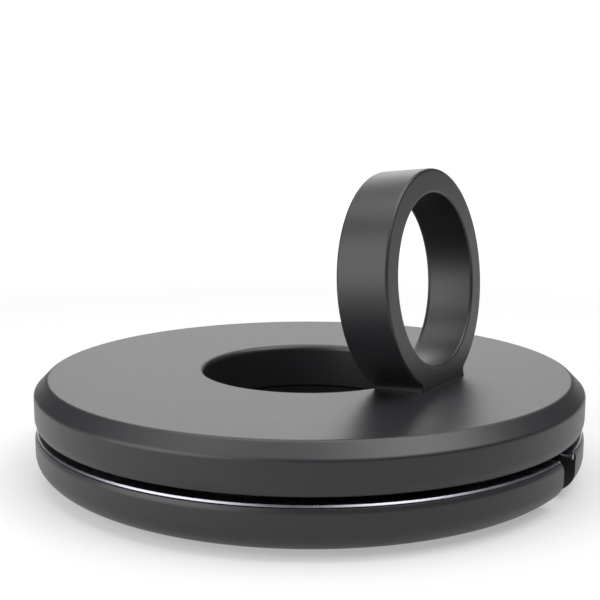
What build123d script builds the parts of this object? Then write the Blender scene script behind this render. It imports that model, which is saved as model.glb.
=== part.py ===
"""Charging dock for a smartwatch: a round two-shell base that hides the wound charging lead, with an
upright ring that holds a round magnetic charger.

Millimetres. The origin is on the table under the middle of the base, +Z is up, and X = 0 is the plane
of symmetry. The ring's open front, and the notch where the lead leaves the base, face -Y.
"""
from build123d import *
import os
from math import cos, radians, sin, tan

# Whole dock
DISC_DIAMETER = 95.0
DISC_HEIGHT = 16.6
WELL_DIAMETER = 37.4
LOWER_LIP_HEIGHT = 8.1
SLOT_GAP = 1.05

# Top shell
TOP_PLATE = 2.2
TOP_RIM_WALL = 2.8
TOP_CHAMFER = 2.2
TOP_CHAMFER_SOFTNESS = 0.9
WELL_EDGE_RADIUS = 1.0
SKIRT_WALL = 1.9
SKIRT_DEPTH = 5.8
RIB_COUNT = 8
RIB_THICKNESS = 1.2
RIB_HEIGHT = 1.5

# Lips on both sides of the slot
LIP_SLOPE = 24.0
TOP_LIP_HEIGHT = 1.05
TOP_LIP_BLEND = 2.4
LIP_EDGE_RADIUS = 0.4
BASE_LIP_HEIGHT = 0.66
BASE_LIP_BLEND = 1.2

# Base shell
BASE_RIM_WALL = 2.8
BASE_FLOOR = 2.4
BOTTOM_ROUND_WIDTH = 6.1
BOTTOM_ROUND_HEIGHT = 4.3

# Polished trim on the base's rim
TRIM_THICKNESS = 0.3
TRIM_INSET = 0.3
TRIM_WIDTH = 2.2
TRIM_LEG = 1.6
SHADOW_GAP_HEIGHT = 0.15
SHADOW_GAP_DEPTH = 0.35

# Notch for the lead
NOTCH_WIDTH = 5.6
NOTCH_CORNER_RADIUS = 1.2
NOTCH_DEPTH = 5.0

# Foot pad
PAD_THICKNESS = 1.2
PAD_PROUD = 0.3
PAD_INNER_MARGIN = 2.3
PAD_OUTER_MARGIN = 0.9
PAD_EDGE_RADIUS = 0.2
PAD_CLEARANCE = 0.1

# Counterweight
WEIGHT_THICKNESS = 1.5
WEIGHT_NOTCH_GAP = 1.5
WEIGHT_CLEARANCE = 0.15

# Winding hub
HUB_WIDTH = 7.3
HUB_WALL = 1.8
HUB_FLANGE_WIDTH = 3.0
HUB_FLANGE_THICKNESS = 1.2
HUB_SOCKET_CLEARANCE = 0.1
SKIRT_END_GAP = 0.2
PASSAGE_WIDTH = 7.0
PASSAGE_CHEEK = 1.5

# Screws that clamp the hub and the counterweight to the base
HUB_SCREW_COUNT = 4
HUB_SCREW_DIAMETER = 2.5
HUB_SCREW_LENGTH = 9.5
HUB_SCREW_HEAD_DIAMETER = 4.6
HUB_SCREW_HEAD_HEIGHT = 1.05
HUB_BOSS_DIAMETER = 5.6

# Ring that holds the charger
RING_BORE_DIAMETER = 28.0
RING_WALL = 4.0
RING_DEPTH = 8.8
RING_LEAN = 5.0
RING_SINK = 1.0
RING_EDGE_RADIUS = 0.45
BORE_BACK_RADIUS = 1.1
FOOT_FROM_WELL = 3.0
FOOT_WIDTH = 16.2
FOOT_TOP = 2.4
FOOT_SKIRT = 0.25

# Studs and screws under the ring
STUD_SPACING = 10.4
STUD_FORWARD = 1.6
STUD_DIAMETER = 3.4
STUD_CLEARANCE = 0.1
STUD_END_GAP = 0.3
RING_SCREW_DIAMETER = 2.2
RING_SCREW_LENGTH = 5.0
RING_SCREW_HEAD_DIAMETER = 4.6
RING_SCREW_HEAD_HEIGHT = 1.3
POCKET_CLEARANCE = 0.5

# Fits shared by all screws
SCREW_FIT = 0.02
SCREW_HOLE_CLEARANCE = 0.2
PILOT_EXTRA = 0.4
DRIVE_WIDTH = 0.6
DRIVE_SPAN = 2.4
DRIVE_DEPTH = 0.6
CUT_MARGIN = 1.0
QUARTER_TURN = 90.0

# Radii and heights that follow from the sizes above
disc_r = DISC_DIAMETER / 2
well_r = WELL_DIAMETER / 2
skirt_r = well_r + SKIRT_WALL
socket_r = skirt_r + HUB_SOCKET_CLEARANCE
hub_r = socket_r + HUB_WIDTH
spigot_r = well_r + HUB_WALL
base_bottom = PAD_PROUD
recess_roof = PAD_THICKNESS
floor_top = base_bottom + BASE_FLOOR
weight_top = floor_top + WEIGHT_THICKNESS
trim_seat = LOWER_LIP_HEIGHT - TRIM_THICKNESS
base_lip_top = trim_seat - SHADOW_GAP_HEIGHT
trim_r = disc_r - TRIM_INSET
trim_low = LOWER_LIP_HEIGHT - TRIM_LEG
top_lip = LOWER_LIP_HEIGHT + SLOT_GAP
plate_under = DISC_HEIGHT - TOP_PLATE
skirt_end = plate_under - SKIRT_DEPTH
hub_ledge = skirt_end - SKIRT_END_GAP
hub_plate_under = plate_under - HUB_WALL
hub_inner_wall_r = socket_r + HUB_WALL
hub_outer_wall_r = hub_r - HUB_WALL
hub_screw_circle_r = (hub_inner_wall_r + hub_outer_wall_r) / 2
bottom_round_z = base_bottom + BOTTOM_ROUND_HEIGHT
base_flat_r = disc_r - BOTTOM_ROUND_WIDTH
pad_in_r = well_r + PAD_INNER_MARGIN
pad_out_r = base_flat_r - PAD_OUTER_MARGIN
weight_r = disc_r - NOTCH_DEPTH - WEIGHT_NOTCH_GAP
ring_r = RING_BORE_DIAMETER / 2 + RING_WALL
ring_axis_height = ring_r - RING_SINK
foot_offset = well_r + FOOT_FROM_WELL
stud_y = -(foot_offset + STUD_FORWARD)
FAR = DISC_DIAMETER

ring_plane = Plane(
    origin=(0, -foot_offset, DISC_HEIGHT),
    x_dir=(1, 0, 0),
    z_dir=(0, -cos(radians(RING_LEAN)), sin(radians(RING_LEAN))),
)


def revolved(*corners):
    """Revolve a closed section about Z. Each corner is (radius, height) or (radius, height, fillet)."""
    points = [(corner[0], corner[1]) for corner in corners]
    fillets = [corner[2] if len(corner) > 2 else 0 for corner in corners]
    outline = FilletPolyline(*points, radius=fillets, close=True)
    return revolve(Plane.XZ * make_face(outline), Axis.Z)


def washer(outer_r, inner_r, bottom, top):
    """A flat ring on the Z axis between two heights."""
    return revolved((inner_r, bottom), (outer_r, bottom), (outer_r, top), (inner_r, top))


def upright(radius, x, y, bottom, top):
    """A round bar along Z through (x, y) between two heights."""
    bar = Cylinder(radius, top - bottom, align=(Align.CENTER, Align.CENTER, Align.MIN))
    return Pos(x, y, bottom) * bar


def hub_screw_places():
    """The hub's screw positions, midway between the axes so that they miss the passage and the ring."""
    half_step = 180 / HUB_SCREW_COUNT
    return PolarLocations(hub_screw_circle_r, HUB_SCREW_COUNT, start_angle=half_step)


def stud_places():
    """The two places under the ring's foot where its studs pass through the top shell."""
    return [(-STUD_SPACING / 2, stud_y), (STUD_SPACING / 2, stud_y)]


def notch_cutter(half_width, corner_r, top):
    """A straight-sided slot that opens outward at its top by a quarter round on each side."""
    start = top - corner_r
    low = -FAR / 2
    right = [
        Line((half_width, low), (half_width, start)),
        RadiusArc((half_width, start), (half_width + corner_r, top), -corner_r),
        Line((half_width + corner_r, top), (half_width + corner_r, FAR / 2)),
    ]
    left = [mirror(edge, Plane.YZ) for edge in right]
    ends = [
        Line((-half_width, low), (half_width, low)),
        Line((-half_width - corner_r, FAR / 2), (half_width + corner_r, FAR / 2)),
    ]
    face = make_face(Curve() + right + left + ends)
    front = Plane(origin=(0, -disc_r + NOTCH_DEPTH, 0), x_dir=(1, 0, 0), z_dir=(0, -1, 0))
    return extrude(front * face, FAR)


def cross_recess(head_face):
    """The cross drive that is cut up into a screw head from its outer face at that height."""
    bar = Box(DRIVE_SPAN, DRIVE_WIDTH, 2 * DRIVE_DEPTH)
    return Pos(0, 0, head_face) * (bar + Rot(0, 0, QUARTER_TURN) * bar)


def top_shell():
    """Upper disc: a plate with a deep outer rim, and a skirt round the well that plugs into the hub."""
    rim_in = disc_r - TOP_RIM_WALL
    lip_run = TOP_LIP_HEIGHT * tan(radians(LIP_SLOPE))
    shell = revolved(
        (well_r, skirt_end),
        (well_r, DISC_HEIGHT, WELL_EDGE_RADIUS),
        (disc_r - TOP_CHAMFER, DISC_HEIGHT, TOP_CHAMFER_SOFTNESS),
        (disc_r, DISC_HEIGHT - TOP_CHAMFER, TOP_CHAMFER_SOFTNESS),
        (disc_r, top_lip + TOP_LIP_HEIGHT, TOP_LIP_BLEND),
        (disc_r - lip_run, top_lip, LIP_EDGE_RADIUS),
        (rim_in, top_lip),
        (rim_in, plate_under),
        (skirt_r, plate_under),
        (skirt_r, skirt_end),
    )
    rib_start = hub_r + HUB_FLANGE_WIDTH
    rib = Pos((rib_start + rim_in) / 2, 0, plate_under - RIB_HEIGHT / 2) * Box(
        rim_in - rib_start, RIB_THICKNESS, RIB_HEIGHT
    )
    ribs = PolarLocations(0, RIB_COUNT, start_angle=180 / RIB_COUNT) * rib
    shell += ribs
    for x, y in stud_places():
        shell -= upright(STUD_DIAMETER / 2 + STUD_CLEARANCE, x, y, plate_under, DISC_HEIGHT)
    return shell


def holder_ring():
    """Upright ring on a short foot, leaning back a little, with two studs for its screws."""
    half_depth = RING_DEPTH / 2
    outline = Pos(0, ring_axis_height) * Circle(ring_r)
    foot_low = -half_depth
    outline += Pos(0, (FOOT_TOP + foot_low) / 2) * Rectangle(FOOT_WIDTH, FOOT_TOP - foot_low)
    outline -= Pos(0, ring_axis_height) * Circle(RING_BORE_DIAMETER / 2)
    ring = extrude(outline, half_depth, both=True)
    back = ring.faces().sort_by(Axis.Z)[0]
    ring = fillet(back.inner_wires()[0].edges(), BORE_BACK_RADIUS)
    faces = ring.faces().sort_by(Axis.Z)
    ring = fillet(faces[0].outer_wire().edges() + faces[-1].edges(), RING_EDGE_RADIUS)
    ring = ring_plane * ring
    ring -= Pos(0, 0, DISC_HEIGHT - FAR / 2) * Box(FAR, FAR, FAR)

    foot_length = RING_DEPTH / cos(radians(RING_LEAN))
    skirt_outline = Rectangle(FOOT_WIDTH + 2 * FOOT_SKIRT, foot_length + 2 * FOOT_SKIRT)
    skirt = extrude(Pos(0, -foot_offset, DISC_HEIGHT) * skirt_outline, FOOT_SKIRT, taper=45)
    well_edge_r = well_r + WELL_EDGE_RADIUS
    skirt -= upright(well_edge_r, 0, 0, DISC_HEIGHT - CUT_MARGIN, DISC_HEIGHT + FOOT_SKIRT)
    ring += skirt

    stud_end = plate_under + STUD_END_GAP
    pilot_top = plate_under + RING_SCREW_LENGTH + PILOT_EXTRA
    for x, y in stud_places():
        ring += upright(STUD_DIAMETER / 2, x, y, stud_end, DISC_HEIGHT)
        ring -= upright(RING_SCREW_DIAMETER / 2 + SCREW_FIT, x, y, stud_end, pilot_top)
    return ring


def ring_screw(x, y):
    """Washer-headed screw that pulls the ring's stud down onto the top shell's plate."""
    head_low = plate_under - RING_SCREW_HEAD_HEIGHT
    screw = upright(RING_SCREW_HEAD_DIAMETER / 2, 0, 0, head_low, plate_under)
    screw += upright(RING_SCREW_DIAMETER / 2, 0, 0, plate_under, plate_under + RING_SCREW_LENGTH)
    screw -= cross_recess(head_low)
    return Pos(x, y, 0) * screw


def winding_hub():
    """Core that the lead is wound round, with a socket for the top shell and a way in from the well."""
    flange_r = hub_r + HUB_FLANGE_WIDTH
    hub = revolved(
        (well_r, floor_top),
        (well_r, hub_ledge),
        (socket_r, hub_ledge),
        (socket_r, plate_under),
        (hub_r, plate_under),
        (hub_r, weight_top + HUB_FLANGE_THICKNESS),
        (flange_r, weight_top + HUB_FLANGE_THICKNESS),
        (flange_r, weight_top),
        (hub_outer_wall_r, weight_top),
        (hub_outer_wall_r, hub_plate_under),
        (hub_inner_wall_r, hub_plate_under),
        (hub_inner_wall_r, hub_ledge - HUB_WALL),
        (spigot_r, hub_ledge - HUB_WALL),
        (spigot_r, floor_top),
    )
    boss_height = hub_plate_under - weight_top
    boss = Pos(0, 0, weight_top) * Cylinder(
        HUB_BOSS_DIAMETER / 2, boss_height, align=(Align.CENTER, Align.CENTER, Align.MIN)
    )
    hub += hub_screw_places() * boss
    pilot_top = recess_roof + HUB_SCREW_LENGTH + PILOT_EXTRA
    pilot = Pos(0, 0, weight_top) * Cylinder(
        HUB_SCREW_DIAMETER / 2 + SCREW_FIT,
        pilot_top - weight_top,
        align=(Align.CENTER, Align.CENTER, Align.MIN),
    )
    hub -= hub_screw_places() * pilot

    cheek_width = PASSAGE_WIDTH + 2 * PASSAGE_CHEEK
    cheek_start = hub_inner_wall_r - HUB_WALL / 2
    cheek_end = hub_r - HUB_WALL / 2
    cheeks = Pos(0, (cheek_start + cheek_end) / 2, (weight_top + plate_under) / 2) * Box(
        cheek_width, cheek_end - cheek_start, plate_under - weight_top
    )
    hub += cheeks
    passage_length = flange_r
    hub -= Pos(0, passage_length, (weight_top + DISC_HEIGHT) / 2) * Box(
        PASSAGE_WIDTH, passage_length, DISC_HEIGHT - weight_top
    )
    pocket_r = RING_SCREW_HEAD_DIAMETER / 2 + POCKET_CLEARANCE
    for x, y in stud_places():
        hub -= upright(pocket_r, x, y, hub_plate_under, plate_under)
    return hub


def hub_screw():
    """Countersunk screw from the pad recess, through the floor and the counterweight, into the hub."""
    head_r = HUB_SCREW_HEAD_DIAMETER / 2
    shank_r = HUB_SCREW_DIAMETER / 2
    tip = recess_roof + HUB_SCREW_LENGTH
    screw = revolved(
        (0, recess_roof),
        (head_r, recess_roof),
        (shank_r, recess_roof + HUB_SCREW_HEAD_HEIGHT),
        (shank_r, tip - shank_r / 2),
        (shank_r / 2, tip),
        (0, tip),
    )
    return screw - cross_recess(recess_roof)


def counterweight():
    """Steel ring plate on the base's floor, centred by the hub's spigot and clamped under the hub."""
    plate = washer(weight_r, spigot_r + WEIGHT_CLEARANCE, floor_top, weight_top)
    hole = Pos(0, 0, floor_top) * Cylinder(
        HUB_SCREW_DIAMETER / 2 + SCREW_HOLE_CLEARANCE,
        WEIGHT_THICKNESS,
        align=(Align.CENTER, Align.CENTER, Align.MIN),
    )
    return plate - hub_screw_places() * hole


def base_section():
    """Half section of the base: floor, pad recess, round bottom edge, rim and the seat of the trim."""
    recess_in = pad_in_r - PAD_CLEARANCE
    recess_out = pad_out_r + PAD_CLEARANCE
    rim_in = disc_r - BASE_RIM_WALL
    lip_start = base_lip_top - BASE_LIP_HEIGHT
    lip_r = disc_r - BASE_LIP_HEIGHT * tan(radians(LIP_SLOPE))
    seat_r = trim_r - SHADOW_GAP_DEPTH
    under = Polyline(
        (0, floor_top),
        (0, base_bottom),
        (recess_in, base_bottom),
        (recess_in, recess_roof),
        (recess_out, recess_roof),
        (recess_out, base_bottom),
        (base_flat_r, base_bottom),
    )
    round_edge = EllipticalCenterArc(
        (base_flat_r, bottom_round_z),
        BOTTOM_ROUND_WIDTH,
        BOTTOM_ROUND_HEIGHT,
        start_angle=-QUARTER_TURN,
        arc_size=QUARTER_TURN,
    )
    lip = FilletPolyline(
        (disc_r, bottom_round_z),
        (disc_r, lip_start),
        (lip_r, base_lip_top),
        (seat_r, base_lip_top),
        (seat_r, trim_seat),
        (rim_in, trim_seat),
        (rim_in, floor_top),
        (0, floor_top),
        radius=[BASE_LIP_BLEND, 0, 0, 0, 0, 0],
    )
    return make_face(Curve() + [under, round_edge, lip])


def base_shell():
    """Lower disc: a tray with the pad recess below, and a rim that the notch cuts through."""
    shell = revolve(Plane.XZ * base_section(), Axis.Z)
    inner_corner = NOTCH_CORNER_RADIUS - TRIM_THICKNESS
    below_trim = Pos(0, 0, trim_low - FAR / 2) * Box(2 * FAR, 2 * FAR, FAR)
    shell -= notch_cutter(NOTCH_WIDTH / 2 + TRIM_THICKNESS, inner_corner, trim_seat) - below_trim
    shell -= Pos(0, -disc_r + NOTCH_DEPTH - FAR / 2, 0) * Box(NOTCH_WIDTH, FAR, FAR)
    head_r = HUB_SCREW_HEAD_DIAMETER / 2
    bore_r = HUB_SCREW_DIAMETER / 2 + SCREW_HOLE_CLEARANCE
    hole = revolved(
        (0, recess_roof),
        (head_r, recess_roof),
        (bore_r, recess_roof + HUB_SCREW_HEAD_HEIGHT - SCREW_HOLE_CLEARANCE),
        (bore_r, floor_top),
        (0, floor_top),
    )
    return shell - hub_screw_places() * hole


def rim_trim():
    """Thin polished strip on the base's rim, turned down along both sides of the notch."""
    trim_in = trim_r - TRIM_WIDTH
    blank = washer(trim_r, trim_in, trim_low, LOWER_LIP_HEIGHT)
    inner_corner = NOTCH_CORNER_RADIUS - TRIM_THICKNESS
    under = washer(trim_r + CUT_MARGIN, trim_in - CUT_MARGIN, trim_low - CUT_MARGIN, trim_seat)
    under -= notch_cutter(NOTCH_WIDTH / 2 + TRIM_THICKNESS, inner_corner, trim_seat)
    return blank - under - notch_cutter(NOTCH_WIDTH / 2, NOTCH_CORNER_RADIUS, LOWER_LIP_HEIGHT)


def foot_pad():
    """Soft ring in the base's underside that the dock stands on; it covers the hub's screws."""
    return revolved(
        (pad_in_r, 0, PAD_EDGE_RADIUS),
        (pad_out_r, 0, PAD_EDGE_RADIUS),
        (pad_out_r, PAD_THICKNESS),
        (pad_in_r, PAD_THICKNESS),
    )


def build():
    """Every piece of the dock, by name."""
    pieces = {
        "holder_ring": holder_ring(),
        "top_shell": top_shell(),
        "winding_hub": winding_hub(),
        "counterweight": counterweight(),
        "base_shell": base_shell(),
        "rim_trim": rim_trim(),
        "foot_pad": foot_pad(),
    }
    for side, (x, y) in zip(("left", "right"), stud_places()):
        pieces["ring_screw_" + side] = ring_screw(x, y)
    for number, place in enumerate(hub_screw_places(), start=1):
        pieces["hub_screw_" + str(number)] = place * hub_screw()
    return pieces


os.makedirs("parts", exist_ok=True)
for name, piece in build().items():
    export_step(piece, "parts/" + name + ".step")
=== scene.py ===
"""Looks of a smartwatch charging dock: two soft-touch discs with a thin slot, a well and an upright ring.

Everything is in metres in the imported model's frame: the origin is on the table under the middle of the
base, +Z is up, and the ring's open front and the notch for the lead face -Y.
"""
import logging
import math
from dataclasses import dataclass, field
from enum import Enum

import bmesh
import bpy
import numpy as np
from mathutils import Matrix, Vector


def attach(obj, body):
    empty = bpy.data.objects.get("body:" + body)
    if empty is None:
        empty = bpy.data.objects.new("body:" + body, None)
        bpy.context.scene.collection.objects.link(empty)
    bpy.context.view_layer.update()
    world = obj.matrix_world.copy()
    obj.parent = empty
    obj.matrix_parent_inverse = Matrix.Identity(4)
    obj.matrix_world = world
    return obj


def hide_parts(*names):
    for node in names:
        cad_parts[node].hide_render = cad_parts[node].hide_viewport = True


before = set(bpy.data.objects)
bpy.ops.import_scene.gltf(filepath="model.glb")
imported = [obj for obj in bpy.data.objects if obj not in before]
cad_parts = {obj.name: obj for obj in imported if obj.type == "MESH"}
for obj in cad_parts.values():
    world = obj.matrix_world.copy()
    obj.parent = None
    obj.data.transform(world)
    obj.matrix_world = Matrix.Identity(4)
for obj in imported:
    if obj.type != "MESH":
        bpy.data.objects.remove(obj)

log = logging.getLogger("charging_dock")

MM = 0.001
GUARD = 0.03 * MM
SHARP_ANGLE = math.radians(32)
BODY = "root"
CUT_MARGIN = 1.0 * MM
WELD_DISTANCE = 1e-8
SMALLEST_SINE = 1e-6
OUT_OF_REACH = 1.0
NOISE_MIDDLE = (0.3, 0.7)

Colour = tuple[float, float, float]
Corner = tuple[float, float, float]
Place = tuple[float, float, float]


# Shapes as arrays


def rounded_section(corners: list[Corner], steps: int = 10) -> np.ndarray:
    """Closed outline of straight sides whose corners are rounded by arcs.

    Each arc touches both of its sides at r / tan(half the corner's angle) from the corner, and its middle
    lies on the bisector. A guard point a little before and after each arc keeps the flats' shading flat.

    Args:
        corners: (radius, height, fillet radius) in metres, anticlockwise with the material inside.
        steps: Spans in each arc.

    Returns:
        The points in order, one row each.
    """
    points = np.array([corner[:2] for corner in corners])
    fillets = np.array([corner[2] for corner in corners])
    to_last = np.roll(points, 1, axis=0) - points
    to_next = np.roll(points, -1, axis=0) - points
    to_last /= np.linalg.norm(to_last, axis=1, keepdims=True)
    to_next /= np.linalg.norm(to_next, axis=1, keepdims=True)
    rows = []
    for place, radius, back, ahead in zip(points, fillets, to_last, to_next):
        if radius == 0:
            rows.append(place[None, :])
            continue
        half = 0.5 * math.acos(float(np.clip(back @ ahead, -1, 1)))
        reach = radius / math.tan(half)
        bisector = (back + ahead) / np.linalg.norm(back + ahead)
        middle = place + bisector * radius / math.sin(half)
        share = np.linspace(0, 1, steps + 1)[:, None]
        start, end = place + back * reach - middle, place + ahead * reach - middle
        turn = math.pi - 2 * half
        arc = (start * np.sin((1 - share) * turn) + end * np.sin(share * turn)) / math.sin(turn)
        rows.append(place[None, :] + back * (reach + GUARD))
        rows.append(middle + arc)
        rows.append(place[None, :] + ahead * (reach + GUARD))
    return np.concatenate(rows)


def grid_faces(rows: int, columns: int, close_rows: bool, close_columns: bool) -> np.ndarray:
    """Quads that join each point of a grid to the next row and the next column.

    Args:
        rows: Number of rows of points.
        columns: Number of points in a row.
        close_rows: Whether the last row joins the first.
        close_columns: Whether the last point of a row joins its first.

    Returns:
        One row of four point numbers for each quad.
    """
    row = np.arange(rows if close_rows else rows - 1)[:, None]
    column = np.arange(columns if close_columns else columns - 1)[None, :]
    next_row, next_column = (row + 1) % rows, (column + 1) % columns
    corners = [
        row * columns + column,
        next_row * columns + column,
        next_row * columns + next_column,
        row * columns + next_column,
    ]
    return np.stack(np.broadcast_arrays(*corners), axis=-1).reshape(-1, 4)


def grid_points(x: np.ndarray, y: np.ndarray, z: np.ndarray) -> np.ndarray:
    """Points of a grid: x, y and z are each widened to the grid's shape and put side by side."""
    return np.stack(np.broadcast_arrays(x, y, z), axis=-1)


def spin(section: np.ndarray, steps: int) -> tuple[np.ndarray, np.ndarray]:
    """Surface of revolution about Z: a point (r, z) goes to (r sin a, -r cos a, z) for each angle a.

    Args:
        section: Closed outline of (radius, height), anticlockwise.
        steps: Number of angles round the full turn.

    Returns:
        The points and the quads.
    """
    angle = np.linspace(0, 2 * math.pi, steps, endpoint=False)[:, None]
    radius, height = section[:, 0][None, :], section[:, 1][None, :]
    points = grid_points(radius * np.sin(angle), -radius * np.cos(angle), height)
    return points.reshape(-1, 3), grid_faces(steps, len(section), True, True)


def prism(outline: np.ndarray, low: float, high: float) -> tuple[np.ndarray, list[list[int]]]:
    """Straight bar: an outline in x and y is repeated at two heights, with a face on each end.

    Args:
        outline: Closed outline of (x, y), anticlockwise seen from above.
        low: Height of the lower end.
        high: Height of the upper end.

    Returns:
        The points and the faces.
    """
    count = len(outline)
    ends = np.repeat([low, high], count)[:, None]
    points = np.hstack([np.tile(outline, (2, 1)), ends])
    number = np.arange(count)
    sides = np.stack([number, np.roll(number, -1), np.roll(number, -1) + count, number + count], axis=-1)
    return points, [number[::-1].tolist(), (number + count).tolist(), *sides.tolist()]


def round_outline(x: float, y: float, radius: float, steps: int = 48) -> np.ndarray:
    """Circle about (x, y): each point is the centre plus the radius times (cos a, sin a)."""
    angle = np.linspace(0, 2 * math.pi, steps, endpoint=False)
    return np.stack([x + radius * np.cos(angle), y + radius * np.sin(angle)], axis=-1)


def box_outline(x_low: float, x_high: float, y_low: float, y_high: float) -> np.ndarray:
    """Rectangle between two x and two y values, anticlockwise."""
    return np.array([[x_low, y_low], [x_high, y_low], [x_high, y_high], [x_low, y_high]])


# Meshes in Blender


def new_piece(name: str, points: np.ndarray, faces: np.ndarray | list[list[int]]) -> bpy.types.Object:
    """Put arrays into a mesh and link it, smooth-shaded with its true corners left sharp.

    Args:
        name: Name of the piece.
        points: One row of x, y, z for each point.
        faces: Point numbers of each face, anticlockwise seen from outside.

    Returns:
        The new object, at the origin.
    """
    mesh = bpy.data.meshes.new(name)
    mesh.from_pydata(points, [], faces if isinstance(faces, list) else faces.tolist())
    mesh.validate()
    piece = bpy.data.objects.new(name, mesh)
    bpy.context.scene.collection.objects.link(piece)
    smooth(piece)
    return piece


def smooth(piece: bpy.types.Object) -> None:
    """Shade a piece smooth except across edges that turn by more than the sharp angle."""
    piece.data.polygons.foreach_set("use_smooth", np.ones(len(piece.data.polygons), dtype=bool))
    piece.data.set_sharp_from_angle(angle=SHARP_ANGLE)


class Joint(Enum):
    """How a second solid is worked into a piece."""

    CUT = "DIFFERENCE"
    FUSE = "UNION"


def work_in(piece: bpy.types.Object, tool: bpy.types.Object, joint: Joint) -> None:
    """Cut a tool solid from a piece or fuse it on, keep the result as the piece's mesh, and drop the tool.

    Args:
        piece: The piece that is changed.
        tool: A closed solid.
        joint: Whether the tool is cut away or fused on.
    """
    modifier = piece.modifiers.new("worked", "BOOLEAN")
    modifier.operation = joint.value
    modifier.solver = "EXACT"
    modifier.object = tool
    depsgraph = bpy.context.evaluated_depsgraph_get()
    result = bpy.data.meshes.new_from_object(piece.evaluated_get(depsgraph))
    piece.modifiers.clear()
    old, name = piece.data, piece.data.name
    piece.data = result
    bpy.data.meshes.remove(old)
    result.name = name
    spare = tool.data
    bpy.data.objects.remove(tool)
    bpy.data.meshes.remove(spare)
    smooth(piece)


# Finishes


class Shader:
    """Short way to build a node material around one principled shader."""

    def __init__(self, name: str) -> None:
        """Start an empty node material with a principled shader and an output."""
        self.material = bpy.data.materials.new(name)
        self.material.use_nodes = True
        self.tree = self.material.node_tree
        self.tree.nodes.clear()
        self.principled = self.node("ShaderNodeBsdfPrincipled")
        output = self.node("ShaderNodeOutputMaterial")
        self.link(self.principled, "BSDF", output, "Surface")
        self.place = self.node("ShaderNodeTexCoord")

    def node(self, kind: str, **values: object) -> bpy.types.Node:
        """Add a node and set its plain properties.

        Args:
            kind: Blender's name of the node type.
            **values: Property names and values.

        Returns:
            The node.
        """
        node = self.tree.nodes.new(kind)
        for key, value in values.items():
            setattr(node, key, value)
        return node

    def link(self, source: bpy.types.Node, out: str, target: bpy.types.Node, into: str) -> None:
        """Join an output socket to an input socket."""
        self.tree.links.new(source.outputs[out], target.inputs[into])

    def noise(self, size: float, detail: float = 2.0) -> bpy.types.Node:
        """Noise on Object coordinates whose blotches are about the given size in metres."""
        noise = self.node("ShaderNodeTexNoise")
        noise.inputs["Scale"].default_value = 1.0 / size
        noise.inputs["Detail"].default_value = detail
        self.link(self.place, "Object", noise, "Vector")
        return noise

    def span(self, source: bpy.types.Node, low: float, high: float, into: str) -> None:
        """Stretch a noise's middle range to a low and a high value and feed it to the principled shader."""
        ramp = self.node("ShaderNodeMapRange")
        for socket, value in zip(("From Min", "From Max", "To Min", "To Max"), (*NOISE_MIDDLE, low, high)):
            ramp.inputs[socket].default_value = value
        self.link(source, "Fac", ramp, "Value")
        self.link(ramp, "Result", self.principled, into)

    def tint(self, source: bpy.types.Node, low: Colour, high: Colour) -> None:
        """Drift the base colour between two tones with a noise."""
        mix = self.node("ShaderNodeMix", data_type="RGBA")
        first, second = [socket for socket in mix.inputs if socket.type == "RGBA"]
        first.default_value, second.default_value = (*low, 1), (*high, 1)
        result = next(socket for socket in mix.outputs if socket.type == "RGBA")
        self.link(source, "Fac", mix, "Factor")
        self.tree.links.new(result, self.principled.inputs["Base Color"])

    def bump(self, source: bpy.types.Node, depth: float) -> None:
        """Raise the surface by a noise to a depth in metres."""
        bump = self.node("ShaderNodeBump")
        bump.inputs["Distance"].default_value = depth
        bump.inputs["Strength"].default_value = 1.0
        self.link(source, "Fac", bump, "Height")
        self.link(bump, "Normal", self.principled, "Normal")

    def set(self, **values: float) -> None:
        """Set plain sockets of the principled shader, with underscores for blanks."""
        for key, value in values.items():
            self.principled.inputs[key.replace("_", " ")].default_value = value


@dataclass(frozen=True)
class SoftTouch:
    """Charcoal soft-touch paint: a low, broad sheen over a very fine even grain."""

    dark: Colour = (0.013, 0.013, 0.0155)
    light: Colour = (0.015, 0.015, 0.0175)
    roughness: tuple[float, float] = (0.39, 0.41)
    ior: float = 1.5
    grain: float = 0.16 * MM
    grain_depth: float = 0.004 * MM
    drift: float = 1.2 * MM

    def build(self) -> bpy.types.Material:
        """Make the material.

        Returns:
            The node material.
        """
        shader = Shader("soft_touch_black")
        shader.set(IOR=self.ior)
        drift = shader.noise(self.drift, detail=3)
        shader.tint(drift, self.dark, self.light)
        shader.span(drift, *self.roughness, "Roughness")
        shader.bump(shader.noise(self.grain), self.grain_depth)
        return shader.material


@dataclass(frozen=True)
class GlossBlack:
    """Glossy black moulding: a hard surface with a faint orange-peel wave."""

    dark: Colour = (0.011, 0.011, 0.012)
    light: Colour = (0.015, 0.015, 0.016)
    roughness: tuple[float, float] = (0.16, 0.24)
    ior: float = 1.5
    wave: float = 1.4 * MM
    wave_depth: float = 0.006 * MM

    def build(self) -> bpy.types.Material:
        """Make the material.

        Returns:
            The node material.
        """
        shader = Shader("gloss_black")
        shader.set(IOR=self.ior)
        wave = shader.noise(self.wave)
        shader.tint(wave, self.dark, self.light)
        shader.span(wave, *self.roughness, "Roughness")
        shader.bump(wave, self.wave_depth)
        return shader.material


@dataclass(frozen=True)
class PolishedTrim:
    """Thin polished metal strip with a trace of cloudiness from handling."""

    dark: Colour = (0.32, 0.32, 0.37)
    light: Colour = (0.38, 0.38, 0.43)
    roughness: tuple[float, float] = (0.26, 0.32)
    cloud: float = 2.5 * MM

    def build(self) -> bpy.types.Material:
        """Make the material.

        Returns:
            The node material.
        """
        shader = Shader("polished_trim")
        shader.set(Metallic=1.0)
        cloud = shader.noise(self.cloud, detail=3)
        shader.tint(cloud, self.dark, self.light)
        shader.span(cloud, *self.roughness, "Roughness")
        return shader.material


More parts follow.
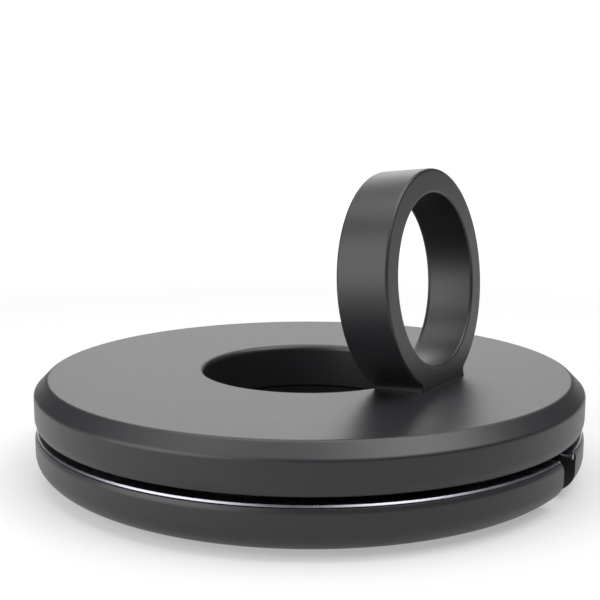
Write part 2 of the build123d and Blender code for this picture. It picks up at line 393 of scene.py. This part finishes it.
@dataclass(frozen=True)
class Silicone:
    """Matte soft pad with a dusty fine grain."""

    dark: Colour = (0.018, 0.018, 0.019)
    light: Colour = (0.026, 0.026, 0.027)
    roughness: tuple[float, float] = (0.72, 0.84)
    ior: float = 1.41
    dust: float = 6.0 * MM
    grain: float = 0.3 * MM
    grain_depth: float = 0.012 * MM

    def build(self) -> bpy.types.Material:
        """Make the material.

        Returns:
            The node material.
        """
        shader = Shader("silicone")
        shader.set(IOR=self.ior)
        grain = shader.noise(self.grain, detail=4)
        shader.tint(shader.noise(self.dust), self.dark, self.light)
        shader.span(grain, *self.roughness, "Roughness")
        shader.bump(grain, self.grain_depth)
        return shader.material


@dataclass(frozen=True)
class PlatedSteel:
    """Zinc-plated steel with a rolled, slightly cloudy surface."""

    dark: Colour = (0.42, 0.42, 0.43)
    light: Colour = (0.56, 0.56, 0.57)
    roughness: tuple[float, float] = (0.28, 0.42)
    cloud: float = 3.0 * MM
    grain: float = 0.5 * MM
    grain_depth: float = 0.008 * MM

    def build(self) -> bpy.types.Material:
        """Make the material.

        Returns:
            The node material.
        """
        shader = Shader("plated_steel")
        shader.set(Metallic=1.0)
        grain = shader.noise(self.grain, detail=4)
        shader.tint(shader.noise(self.cloud), self.dark, self.light)
        shader.span(grain, *self.roughness, "Roughness")
        shader.bump(grain, self.grain_depth)
        return shader.material


class Slot(Enum):
    """The record's material slots."""

    SOFT_TOUCH = "soft_touch_black"
    GLOSS = "gloss_black"
    TRIM = "polished_trim"
    SILICONE = "silicone"
    STEEL = "plated_steel"


@dataclass
class Finishes:
    """One material for each slot, made once and shared."""

    materials: dict[Slot, bpy.types.Material] = field(default_factory=dict)

    def make(self) -> None:
        """Build every finish."""
        recipes = {
            Slot.SOFT_TOUCH: SoftTouch(),
            Slot.GLOSS: GlossBlack(),
            Slot.TRIM: PolishedTrim(),
            Slot.SILICONE: Silicone(),
            Slot.STEEL: PlatedSteel(),
        }
        self.materials = {slot: recipe.build() for slot, recipe in recipes.items()}

    def dress(self, piece: bpy.types.Object, slot: Slot, node: str) -> None:
        """Give a new piece its finish, and let it stand for its node.

        Args:
            piece: The new piece.
            slot: The finish that it takes.
            node: The CAD node that it replaces.
        """
        piece.data.materials.clear()
        piece.data.materials.append(self.materials[slot])
        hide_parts(node)
        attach(piece, BODY)
        log.info("%s: %d faces, stands for %s", piece.name, len(piece.data.polygons), node)

    def coat(self, node: str, slot: Slot) -> None:
        """Give a CAD node that stays its finish.

        Args:
            node: Name of the node.
            slot: The finish that it takes.
        """
        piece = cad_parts[node]
        if not piece.material_slots:
            piece.data.materials.append(None)
        for place in piece.material_slots:
            place.material = self.materials[slot]
        log.info("%s: CAD node in %s", node, slot.value)


# Pieces


@dataclass
class DockSizes:
    """Sizes that several pieces share, in metres."""

    disc_r: float = 47.5 * MM
    disc_top: float = 16.6 * MM
    well_r: float = 18.7 * MM
    well_edge: float = 1.0 * MM
    plate_under: float = 14.4 * MM
    stud_x: float = 5.2 * MM
    stud_y: float = -23.3 * MM
    notch_half: float = 2.8 * MM
    notch_end: float = -42.5 * MM
    lip_slope: float = math.radians(24)
    spin_steps: int = 384


@dataclass
class TopShell:
    """Upper disc: plate, chamfered rim, lip of the slot, skirt of the well and ribs under the plate."""

    sizes: DockSizes
    rim_in: float = 44.7 * MM
    rim_in_round: float = 0.15 * MM
    lip_bottom: float = 9.15 * MM
    lip_height: float = 1.05 * MM
    lip_round: float = 0.4 * MM
    lip_blend: float = 2.4 * MM
    chamfer: float = 2.2 * MM
    chamfer_round: float = 0.9 * MM
    skirt_wall: float = 1.9 * MM
    skirt_end: float = 8.6 * MM
    skirt_round: float = 0.2 * MM
    rib_count: int = 8
    rib_start: float = 31.0 * MM
    rib_half: float = 0.6 * MM
    rib_height: float = 1.5 * MM
    rib_embed: float = 0.3 * MM
    stud_hole_r: float = 1.8 * MM

    def section(self) -> np.ndarray:
        """Half section of the shell, anticlockwise from the skirt's inner lower corner.

        Returns:
            Points of (radius, height).
        """
        s = self.sizes
        lip_run = self.lip_height * math.tan(s.lip_slope)
        return rounded_section(
            [
                (s.well_r, self.skirt_end, self.skirt_round),
                (s.well_r + self.skirt_wall, self.skirt_end, self.skirt_round),
                (s.well_r + self.skirt_wall, s.plate_under, 0),
                (self.rim_in, s.plate_under, 0),
                (self.rim_in, self.lip_bottom, self.rim_in_round),
                (s.disc_r - lip_run, self.lip_bottom, self.lip_round),
                (s.disc_r, self.lip_bottom + self.lip_height, self.lip_blend),
                (s.disc_r, s.disc_top - self.chamfer, self.chamfer_round),
                (s.disc_r - self.chamfer, s.disc_top, self.chamfer_round),
                (s.well_r, s.disc_top, s.well_edge),
            ]
        )

    def build(self) -> bpy.types.Object:
        """Spin the section, fuse the ribs on and drill the two stud holes.

        Returns:
            The finished mesh object.
        """
        s = self.sizes
        shell = new_piece("top_shell_skin", *spin(self.section(), s.spin_steps))
        low, high = s.plate_under - self.rib_height, s.plate_under + self.rib_embed
        rib_end = self.rim_in + self.rib_embed
        outline = box_outline(-self.rib_half, self.rib_half, self.rib_start, rib_end)
        for turn in (np.arange(self.rib_count) + 0.5) * 2 * math.pi / self.rib_count:
            spread = np.array([[math.cos(turn), -math.sin(turn)], [math.sin(turn), math.cos(turn)]])
            work_in(shell, new_piece("rib", *prism(outline @ spread.T, low, high)), Joint.FUSE)
        for side in (-1, 1):
            hole = round_outline(side * s.stud_x, s.stud_y, self.stud_hole_r)
            drill = prism(hole, s.plate_under - CUT_MARGIN, s.disc_top + CUT_MARGIN)
            work_in(shell, new_piece("drill", *drill), Joint.CUT)
        return shell


@dataclass
class BaseShell:
    """Lower disc: tray with a rounded bottom edge, a pad recess and the notch for the lead."""

    sizes: DockSizes
    bottom: float = 0.3 * MM
    floor_top: float = 2.7 * MM
    recess_roof: float = 1.2 * MM
    recess_in: float = 20.9 * MM
    recess_out: float = 40.6 * MM
    recess_round: float = 0.15 * MM
    floor_round: float = 0.3 * MM
    round_width: float = 6.1 * MM
    round_height: float = 4.3 * MM
    rim_in: float = 44.7 * MM
    lip_top: float = 7.65 * MM
    lip_height: float = 0.66 * MM
    lip_blend: float = 1.2 * MM
    lip_round: float = 0.12 * MM
    rim_in_round: float = 0.15 * MM
    seat_top: float = 7.8 * MM
    seat_r: float = 46.85 * MM
    trim_pocket: float = 0.3 * MM
    trim_low: float = 6.5 * MM
    wall_corner: float = 0.9 * MM
    notch_reach: float = 5.0 * MM
    notch_rise: float = 40.0 * MM
    screw_count: int = 4
    screw_circle: float = 24.35 * MM
    screw_hole_r: float = 1.45 * MM
    screw_head_r: float = 2.3 * MM
    screw_head_height: float = 0.85 * MM
    screw_steps: int = 48
    edge_steps: int = 25
    bend_steps: int = 13

    def section(self) -> np.ndarray:
        """Half section, anticlockwise from the pole on the floor's underside.

        The bottom edge is a quarter ellipse: (r, z) = centre + (width sin a, -height cos a).

        Returns:
            Points of (radius, height).
        """
        s = self.sizes
        flat_r, round_z = s.disc_r - self.round_width, self.bottom + self.round_height
        angle = np.linspace(0, math.pi / 2, self.edge_steps)
        edge_r, edge_z = self.round_width * np.sin(angle), self.round_height * np.cos(angle)
        edge = np.stack([flat_r + edge_r, round_z - edge_z], axis=-1)
        lip_run = self.lip_height * math.tan(s.lip_slope)
        outline = rounded_section(
            [
                (0, self.bottom, 0),
                (self.recess_in, self.bottom, self.recess_round),
                (self.recess_in, self.recess_roof, 0),
                (self.recess_out, self.recess_roof, 0),
                (self.recess_out, self.bottom, self.recess_round),
                (s.disc_r, self.bottom, 0),
                (s.disc_r, self.lip_top - self.lip_height, self.lip_blend),
                (s.disc_r - lip_run, self.lip_top, self.lip_round),
                (self.seat_r, self.lip_top, 0),
                (self.seat_r, self.seat_top, 0),
                (self.rim_in, self.seat_top, self.rim_in_round),
                (self.rim_in, self.floor_top, self.floor_round),
                (0, self.floor_top, 0),
            ]
        )
        square_corner = int(np.argmin(np.hypot(outline[:, 0] - s.disc_r, outline[:, 1] - self.bottom)))
        return np.concatenate([outline[:square_corner], edge, outline[square_corner + 1 :]])

    def notch(self) -> tuple[np.ndarray, list[list[int]]]:
        """Cutter of the notch, an outline in x and z that is carried outward along -Y.

        The sides are straight, step out where the trim's legs lie, and open by a quarter round above:
        (x, z) = corner centre + radius (-cos a, sin a).

        Returns:
            The points and the faces.
        """
        half, corner, far = self.sizes.notch_half, self.wall_corner, self.notch_rise
        wide = half + self.trim_pocket
        angle = np.linspace(0, math.pi / 2, self.bend_steps)
        bend_x, bend_z = corner * (1 - np.cos(angle)), corner * (1 - np.sin(angle))
        bend = np.stack([wide + bend_x, self.seat_top - bend_z], axis=-1)
        start = np.array([(half, -far), (half, self.trim_low), (wide, self.trim_low)])
        right = np.concatenate([start, bend, [(wide + corner, far)]])
        outline = np.concatenate([right, right[::-1] * (-1, 1)])
        points, faces = prism(outline, -self.sizes.notch_end, self.sizes.disc_r + self.notch_reach)
        return points[:, [0, 2, 1]] * (1, -1, 1), faces

    def build(self) -> bpy.types.Object:
        """Spin the section, cut the notch and sink the screw holes.

        Returns:
            The finished mesh object.
        """
        s = self.sizes
        shell = new_piece("base_shell_skin", *spin(self.section(), s.spin_steps))
        merge_poles(shell)
        work_in(shell, new_piece("notch", *self.notch()), Joint.CUT)
        cone_top = self.recess_roof + self.screw_head_height
        hole = np.array(
            [
                (0, self.recess_roof - CUT_MARGIN),
                (self.screw_head_r, self.recess_roof - CUT_MARGIN),
                (self.screw_head_r, self.recess_roof),
                (self.screw_hole_r, cone_top),
                (self.screw_hole_r, self.floor_top + CUT_MARGIN),
                (0, self.floor_top + CUT_MARGIN),
            ]
        )
        for turn in (np.arange(self.screw_count) + 0.5) * 2 * math.pi / self.screw_count:
            points, faces = spin(hole, self.screw_steps)
            points = points + (self.screw_circle * math.cos(turn), self.screw_circle * math.sin(turn), 0)
            drill = new_piece("drill", points, faces)
            merge_poles(drill)
            work_in(shell, drill, Joint.CUT)
        return shell


def merge_poles(piece: bpy.types.Object) -> None:
    """Weld the points that a spin leaves on its axis, and drop the faces that they made flat."""
    sheet = bmesh.new()
    sheet.from_mesh(piece.data)
    bmesh.ops.remove_doubles(sheet, verts=sheet.verts, dist=WELD_DISTANCE)
    bmesh.ops.dissolve_degenerate(sheet, edges=sheet.edges, dist=WELD_DISTANCE)
    sheet.to_mesh(piece.data)
    sheet.free()
    smooth(piece)


@dataclass
class RimTrim:
    """Thin polished strip that lies on the base's rim and turns down along both sides of the notch."""

    sizes: DockSizes
    outer_r: float = 47.2 * MM
    inner_r: float = 45.0 * MM
    top: float = 8.1 * MM
    thickness: float = 0.3 * MM
    corner: float = 1.2 * MM
    down_to: float = 6.5 * MM
    edge: float = 0.03 * MM
    bevel: float = 0.22 * MM
    blend_turn: float = math.radians(9)
    wall_steps: int = 8
    bend_steps: int = 17
    rim_steps: int = 200
    edge_steps: int = 5

    def path(self) -> tuple[np.ndarray, np.ndarray, np.ndarray]:
        """Line from the wall right of the notch up to the rim, and the shares of the turn after it.

        Up the wall, then a quarter round (x, z) = centre + radius (-cos a, sin a), then round Z.

        Returns:
            The surface points (x, z) before the turn begins, the outward normals there, and how much of
            the way to the far side each later step has turned.
        """
        half, bend_z = self.sizes.notch_half, self.top - self.corner
        wall_z = np.linspace(self.down_to, bend_z, self.wall_steps, endpoint=False)
        wall = np.stack([np.full_like(wall_z, half), wall_z], axis=-1)
        angle = np.linspace(0, math.pi / 2, self.bend_steps)
        bend_x = half + self.corner * (1 - np.cos(angle))
        bend = np.stack([bend_x, bend_z + self.corner * np.sin(angle)], axis=-1)
        wall_normal = np.tile([-1.0, 0.0], (len(wall), 1))
        bend_normal = np.stack([-np.cos(angle), np.sin(angle)], axis=-1)
        shares = np.linspace(0, 1, self.rim_steps)[1:]
        return np.concatenate([wall, bend]), np.concatenate([wall_normal, bend_normal]), shares

    def section(self) -> np.ndarray:
        """Section across the strip, with its outer side sloped back.

        Returns:
            Points of (radius, height over the strip's upper face), anticlockwise.
        """
        return rounded_section(
            [
                (self.inner_r, -self.thickness, self.edge),
                (self.outer_r, -self.thickness, self.edge),
                (self.outer_r - self.bevel, 0, self.edge),
                (self.inner_r, 0, self.edge),
            ],
            steps=self.edge_steps,
        )

    def build(self) -> bpy.types.Object:
        """Carry the section along the path and mirror it into one closed strip.

        A point at radius r and height d over the upper face, whose outward normal is n, goes to
        (x + d nx, -sqrt(r^2 - x^2), z + d nz) on the wall and in the bend. On the rim it goes to
        (r sin a, -r cos a, top + d), and a is blended so that both meet.

        Returns:
            The finished mesh object.
        """
        line, normal, share = self.path()
        section = self.section()
        radius, depth = section[:, 0][None, :], section[:, 1][None, :]
        x = line[:, :1] + normal[:, :1] * depth
        z = line[:, 1:] + normal[:, 1:] * depth
        start = grid_points(x, -np.sqrt(radius**2 - x**2), z)
        middle_r = 0.5 * (self.inner_r + self.outer_r)
        first = math.asin(line[-1, 0] / middle_r)
        turn = first + (math.pi - first) * share[:, None]
        fade = np.clip(1 - (turn - first) / self.blend_turn, 0, 1)
        angle = turn + (np.arcsin(line[-1, 0] / radius) - first) * fade
        rim = grid_points(radius * np.sin(angle), -radius * np.cos(angle), self.top + depth)
        right = np.concatenate([start, rim])
        left = right[:-1][::-1] * (-1, 1, 1)
        points = np.concatenate([right, left])
        rows, columns = points.shape[:2]
        faces = grid_faces(rows, columns, False, True).tolist()
        faces.append(np.arange(columns)[::-1].tolist())
        faces.append(((rows - 1) * columns + np.arange(columns)).tolist())
        strip = new_piece("rim_trim_strip", points.reshape(-1, 3), faces)
        face_out(strip)
        return strip


def face_out(piece: bpy.types.Object) -> None:
    """Turn every face of a closed mesh outward."""
    sheet = bmesh.new()
    sheet.from_mesh(piece.data)
    bmesh.ops.recalc_face_normals(sheet, faces=sheet.faces)
    sheet.to_mesh(piece.data)
    sheet.free()
    smooth(piece)


@dataclass
class HolderRing:
    """Upright ring on a short foot, leaning back, with two studs under it."""

    sizes: DockSizes
    bore_r: float = 14.0 * MM
    outer_r: float = 18.0 * MM
    half_depth: float = 4.4 * MM
    lean: float = math.radians(5)
    offset: float = 21.7 * MM
    centre_height: float = 17.0 * MM
    foot_half: float = 8.1 * MM
    edge: float = 0.45 * MM
    bore_back: float = 1.1 * MM
    crease: float = 0.8 * MM
    skirt: float = 0.12 * MM
    sink: float = 0.15 * MM
    stud_r: float = 1.7 * MM
    pilot_r: float = 1.12 * MM
    stud_end: float = 14.7 * MM
    pilot_top: float = 19.8 * MM
    foot_sector: float = 0.5
    cut_room: float = 40.0 * MM
    steps: int = 320
    crease_steps: int = 16
    well_steps: int = 192

    def section(self) -> np.ndarray:
        """Section through the ring's wall, with rounded front and back edges.

        Returns:
            Points of (distance from the bore, depth), anticlockwise.
        """
        wall = self.outer_r - self.bore_r
        h = self.half_depth
        return rounded_section(
            [(0, -h, self.bore_back), (wall, -h, self.edge), (wall, h, self.edge), (0, h, self.edge)]
        )

    def build(self) -> bpy.types.Object:
        """Carry the section round the ring, fuse the skirt and studs on, and drill the studs.

        At angle a from straight down, the foot's outline is at half / sin a on its side or at
        height / cos a on its flat bottom, whichever is nearer, and the outside is at radius R or on that
        outline, whichever is further out. Where both come within the crease's size c of each other, the
        corner between them is filled by c/4 (1 - gap/c)^2.
        The bore's edge stays round, and a point near the outside keeps its distance from it. The foot
        is sunk a little into the plate and cut off level with it.

        Returns:
            The finished mesh object.
        """
        s = self.sizes
        section = self.section()
        wall = self.outer_r - self.bore_r
        angle = self.angles()[:, None]
        depth = np.broadcast_to(section[:, 1][None, :], (len(angle), len(section)))
        reach = section[:, 0][None, :]
        sine, cosine = np.abs(np.sin(angle)), np.cos(angle)
        in_foot = cosine > self.foot_sector
        side = self.foot_half / np.maximum(sine, SMALLEST_SINE)
        bottom_height = self.centre_height + depth * math.tan(self.lean) + self.sink
        low = np.where(in_foot, bottom_height / np.maximum(cosine, self.foot_sector), OUT_OF_REACH)
        foot = np.minimum(side, low)
        closeness = np.clip(1 - np.abs(foot - self.outer_r) / self.crease, 0, 1)
        filled = closeness**2 * self.crease / 4
        outside = np.where(in_foot, np.maximum(self.outer_r, foot) + filled, self.outer_r)
        radius = np.where(reach < wall / 2, self.bore_r + reach, outside - (wall - reach))
        x = radius * np.sin(angle)
        height = self.centre_height - radius * cosine
        c, t = math.cos(self.lean), math.sin(self.lean)
        y = -self.offset + height * t - depth * c
        points = grid_points(x, y, s.disc_top + height * c + depth * t)
        faces = grid_faces(len(angle), len(section), True, True)
        ring = new_piece("holder_ring_body", points.reshape(-1, 3), faces)
        face_out(ring)
        room = self.cut_room
        below = box_outline(-room, room, -self.offset - room, -self.offset + room)
        work_in(ring, new_piece("level", *prism(below, s.disc_top - room, s.disc_top)), Joint.CUT)
        skirt = new_piece("skirt", *self.skirt_frustum())
        well = round_outline(0, 0, s.well_r + s.well_edge, self.well_steps)
        well_cut = prism(well, s.disc_top - CUT_MARGIN, s.disc_top + CUT_MARGIN)
        work_in(skirt, new_piece("well", *well_cut), Joint.CUT)
        work_in(ring, skirt, Joint.FUSE)
        for stud_x in (-s.stud_x, s.stud_x):
            stud = round_outline(stud_x, s.stud_y, self.stud_r)
            stud_bar = prism(stud, self.stud_end, s.disc_top + CUT_MARGIN)
            work_in(ring, new_piece("stud", *stud_bar), Joint.FUSE)
            pilot = round_outline(stud_x, s.stud_y, self.pilot_r)
            pilot_bar = prism(pilot, self.stud_end - CUT_MARGIN, self.pilot_top)
            work_in(ring, new_piece("pilot", *pilot_bar), Joint.CUT)
        return ring

    def angles(self) -> np.ndarray:
        """Even steps round the ring, with finer ones over the foot's corners and the crease above them.

        Returns:
            Angles from straight down, in order.
        """
        even = np.linspace(-math.pi, math.pi, self.steps, endpoint=False)
        crease_top = math.asin(self.foot_half / (self.outer_r - self.crease))
        corner = math.atan2(self.foot_half, self.centre_height)
        fine = np.linspace(corner, crease_top, self.crease_steps)
        return np.unique(np.concatenate([even, -fine, fine]))

    def skirt_frustum(self) -> tuple[np.ndarray, list[list[int]]]:
        """Low sloped skirt round the foot: a wide rectangle on the plate and a smaller one above it.

        Returns:
            The points and the faces.
        """
        s = self.sizes
        half_y = self.half_depth / math.cos(self.lean)
        front, back = -self.offset - half_y, -self.offset + half_y
        wide = self.foot_half + self.skirt
        lower = box_outline(-wide, wide, front - self.skirt, back + self.skirt)
        upper = box_outline(-self.foot_half, self.foot_half, front, back)
        points, faces = prism(lower, s.disc_top, s.disc_top + self.skirt)
        points[4:, :2] = upper
        return points, faces


@dataclass
class FootPad:
    """Soft ring under the base that the dock stands on."""

    inner_r: float = 21.0 * MM
    outer_r: float = 40.5 * MM
    thickness: float = 1.2 * MM
    edge: float = 0.2 * MM
    edge_steps: int = 6
    steps: int = 256

    def build(self) -> bpy.types.Object:
        """Spin a flat section with rounded lower edges.

        Returns:
            The finished mesh object.
        """
        section = rounded_section(
            [
                (self.inner_r, 0, self.edge),
                (self.outer_r, 0, self.edge),
                (self.outer_r, self.thickness, 0),
                (self.inner_r, self.thickness, 0),
            ],
            steps=self.edge_steps,
        )
        return new_piece("foot_pad_ring", *spin(section, self.steps))


@dataclass
class Hardware:
    """CAD nodes that stay and only need their finish."""

    steel: tuple[str, ...] = (
        "counterweight",
        "ring_screw_left",
        "ring_screw_right",
        "hub_screw_1",
        "hub_screw_2",
        "hub_screw_3",
        "hub_screw_4",
    )
    gloss: tuple[str, ...] = ("winding_hub",)

    def dress(self, finishes: Finishes) -> None:
        """Coat each node.

        Args:
            finishes: The dock's finishes.
        """
        for node in self.steel:
            finishes.coat(node, Slot.STEEL)
        for node in self.gloss:
            finishes.coat(node, Slot.GLOSS)


# Studio


@dataclass(frozen=True)
class SoftBox:
    """A rectangular lamp that faces a point, with its width along a given direction."""

    name: str
    place: Place
    aim: Place
    across: Place
    width: float
    height: float
    radiance: float

    def build(self) -> None:
        """Make the lamp: its power is the radiance times pi times its area.

        Its axes are the width's direction made square to the line of sight, the cross product of both, and
        the line of sight backwards.
        """
        lamp = bpy.data.lights.new(self.name, "AREA")
        lamp.shape = "RECTANGLE"
        lamp.size, lamp.size_y = self.width, self.height
        lamp.energy = self.radiance * math.pi * self.width * self.height
        lamp_object = bpy.data.objects.new(self.name, lamp)
        bpy.context.scene.collection.objects.link(lamp_object)
        back = (Vector(self.place) - Vector(self.aim)).normalized()
        side = (Vector(self.across) - back * back.dot(Vector(self.across))).normalized()
        turn = Matrix((side, back.cross(side), back)).transposed().to_4x4()
        lamp_object.matrix_world = Matrix.Translation(self.place) @ turn


@dataclass
class Studio:
    """Plain room: dim world, pale floor with a low wall round it, a backdrop, soft lamps, the camera."""

    world_fill: float = 0.12
    glow_near: float = 0.38
    glow_far: float = 0.98
    glow_starts: float = 0.2
    glow_ends: float = 0.65
    white_glow: float = 1.0
    paper_tone: float = 0.42
    paper_roughness: float = 0.9
    floor_half: float = 4.0
    wall_height: float = 0.20
    wall_steps: int = 96
    backdrop_away: float = 2.0
    backdrop_half: float = 0.80
    backdrop_height: float = 1.0
    camera_place: Place = (-0.15096, -0.09245, 0.05623)
    camera_heading: tuple[float, float] = (0.84805, 0.52992)
    camera_dip: float = math.radians(8.911)
    lens: float = 61.12
    sensor: float = 36.0
    nearest_seen: float = 0.01
    lamps: tuple[SoftBox, ...] = (
        SoftBox("overhead", (0.06, -0.05, 0.544), (0.06, -0.05, 0), (0.53, -0.848, 0), 0.88, 0.38, 3.2),
        SoftBox("left_panel", (-0.41, 0.185, 0.21), (0, 0, 0.02), (0.41, 0.91, 0), 0.47, 0.42, 3.2),
        SoftBox("back_sheen", (0.417, 0.26, 0.344), (0, 0, 0.02), (-0.53, 0.85, 0), 0.50, 0.30, 2.2),
        SoftBox("front_edge", (-0.05, -0.35, 0.50), (0, 0, 0.02), (1, 0, 0), 0.44, 0.30, 3.6),
    )

    def build(self) -> None:
        """Set the whole room up."""
        self.set_world()
        self.lay_floor()
        self.hang_backdrop()
        self.stand_wall()
        for lamp in self.lamps:
            lamp.build()
        self.set_camera()
        scene = bpy.context.scene
        scene.view_settings.view_transform = "Standard"
        log.info("studio: %d lamps", len(self.lamps))

    @staticmethod
    def seen_directly(tree: bpy.types.NodeTree) -> bpy.types.NodeSocket:
        """Value that is 1 for camera, glossy and transmission rays, and 0 for the rest.

        Args:
            tree: The node tree that it is for.

        Returns:
            The output socket.
        """
        rays = tree.nodes.new("ShaderNodeLightPath")
        total = rays.outputs["Is Camera Ray"]
        for name in ("Is Glossy Ray", "Is Transmission Ray"):
            adder = tree.nodes.new("ShaderNodeMath")
            adder.operation = "MAXIMUM"
            tree.links.new(total, adder.inputs[0])
            tree.links.new(rays.outputs[name], adder.inputs[1])
            total = adder.outputs[0]
        return total

    def set_world(self) -> None:
        """Even grey room light from all round."""
        world = bpy.data.worlds.new("dim_room")
        bpy.context.scene.world = world
        world.use_nodes = True
        background = world.node_tree.nodes["Background"]
        background.inputs["Color"].default_value = (1, 1, 1, 1)
        background.inputs["Strength"].default_value = self.world_fill

    def paper(self, name: str, near: float, far: float) -> bpy.types.Material:
        """Matte pale paper that glows only where it is seen, so that it reads white and keeps a shadow.

        The glow grows with the distance from the dock, because the lamps' light falls off there.

        Args:
            name: Name of the material.
            near: Strength of the glow round the dock, where 1 is white by itself.
            far: Strength of the glow past the lamps.

        Returns:
            The node material.
        """
        material = bpy.data.materials.new(name)
        material.use_nodes = True
        tree = material.node_tree
        principled = tree.nodes["Principled BSDF"]
        tone = self.paper_tone
        principled.inputs["Base Color"].default_value = (tone, tone, tone, 1)
        principled.inputs["Roughness"].default_value = self.paper_roughness
        principled.inputs["Specular IOR Level"].default_value = 0.0
        principled.inputs["Emission Color"].default_value = (1, 1, 1, 1)
        place = tree.nodes.new("ShaderNodeTexCoord")
        distance = tree.nodes.new("ShaderNodeVectorMath")
        distance.operation = "LENGTH"
        tree.links.new(place.outputs["Object"], distance.inputs[0])
        growth = tree.nodes.new("ShaderNodeMapRange")
        growth.inputs["From Min"].default_value = self.glow_starts
        growth.inputs["From Max"].default_value = self.glow_ends
        growth.inputs["To Min"].default_value = near
        growth.inputs["To Max"].default_value = far
        tree.links.new(distance.outputs["Value"], growth.inputs["Value"])
        strength = tree.nodes.new("ShaderNodeMath")
        strength.operation = "MULTIPLY"
        tree.links.new(growth.outputs["Result"], strength.inputs[1])
        tree.links.new(self.seen_directly(tree), strength.inputs[0])
        tree.links.new(strength.outputs[0], principled.inputs["Emission Strength"])
        return material

    def lay_floor(self) -> None:
        """Wide pale floor at the table's height."""
        half = self.floor_half
        corners = np.array([(-half, -half, 0), (half, -half, 0), (half, half, 0), (-half, half, 0)])
        floor = new_piece("pale_floor", corners, [[0, 1, 2, 3]])
        floor.data.materials.append(self.paper("pale_floor", self.glow_near, self.glow_far))

    def hang_backdrop(self) -> None:
        """Upright white sheet behind the dock, square to the camera's heading and wider than its view."""
        ahead = np.array([*self.camera_heading, 0.0])
        across = np.array([-ahead[1], ahead[0], 0.0])
        middle = ahead * self.backdrop_away
        low_left, low_right = middle + across * self.backdrop_half, middle - across * self.backdrop_half
        rise = np.array([0.0, 0.0, self.backdrop_height])
        corners = np.array([low_left, low_left + rise, low_right + rise, low_right])
        sheet = new_piece("white_backdrop", corners, [[0, 1, 2, 3]])
        sheet.data.materials.append(self.paper("white_backdrop", self.white_glow, self.white_glow))

    def stand_wall(self) -> None:
        """Low white wall round the floor, which hides the dim room: a circle at two heights, in quads."""
        angle = np.linspace(0, 2 * math.pi, self.wall_steps, endpoint=False)[:, None]
        height = np.array([[0.0, self.wall_height]])
        points = grid_points(self.floor_half * np.cos(angle), self.floor_half * np.sin(angle), height)
        faces = grid_faces(self.wall_steps, 2, True, False)
        wall = new_piece("white_wall", points.reshape(-1, 3), faces)
        wall.data.materials.append(self.paper("white_wall", self.white_glow, self.white_glow))

    def set_camera(self) -> None:
        """Camera at the photo's viewpoint: level across, dipped a little, no shift."""
        data = bpy.data.cameras.new("photo_view")
        data.lens = self.lens
        data.sensor_width = self.sensor
        data.clip_start = self.nearest_seen
        camera = bpy.data.objects.new("photo_view", data)
        bpy.context.scene.collection.objects.link(camera)
        flat, drop = math.cos(self.camera_dip), math.sin(self.camera_dip)
        forward = Vector((self.camera_heading[0] * flat, self.camera_heading[1] * flat, -drop))
        turn = forward.to_track_quat("-Z", "Y").to_matrix().to_4x4()
        camera.matrix_world = Matrix.Translation(self.camera_place) @ turn
        bpy.context.scene.camera = camera


# Run


def main() -> None:
    """Dress the dock piece by piece and set up the studio."""
    logging.basicConfig(level=logging.INFO, format="%(name)s %(message)s")
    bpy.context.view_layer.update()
    sizes = DockSizes()
    finishes = Finishes()
    finishes.make()
    finishes.dress(TopShell(sizes).build(), Slot.SOFT_TOUCH, "top_shell")
    finishes.dress(BaseShell(sizes).build(), Slot.SOFT_TOUCH, "base_shell")
    finishes.dress(RimTrim(sizes).build(), Slot.TRIM, "rim_trim")
    finishes.dress(HolderRing(sizes).build(), Slot.SOFT_TOUCH, "holder_ring")
    finishes.dress(FootPad().build(), Slot.SILICONE, "foot_pad")
    Hardware().dress(finishes)
    Studio().build()


if __name__ == "__main__":
    main()
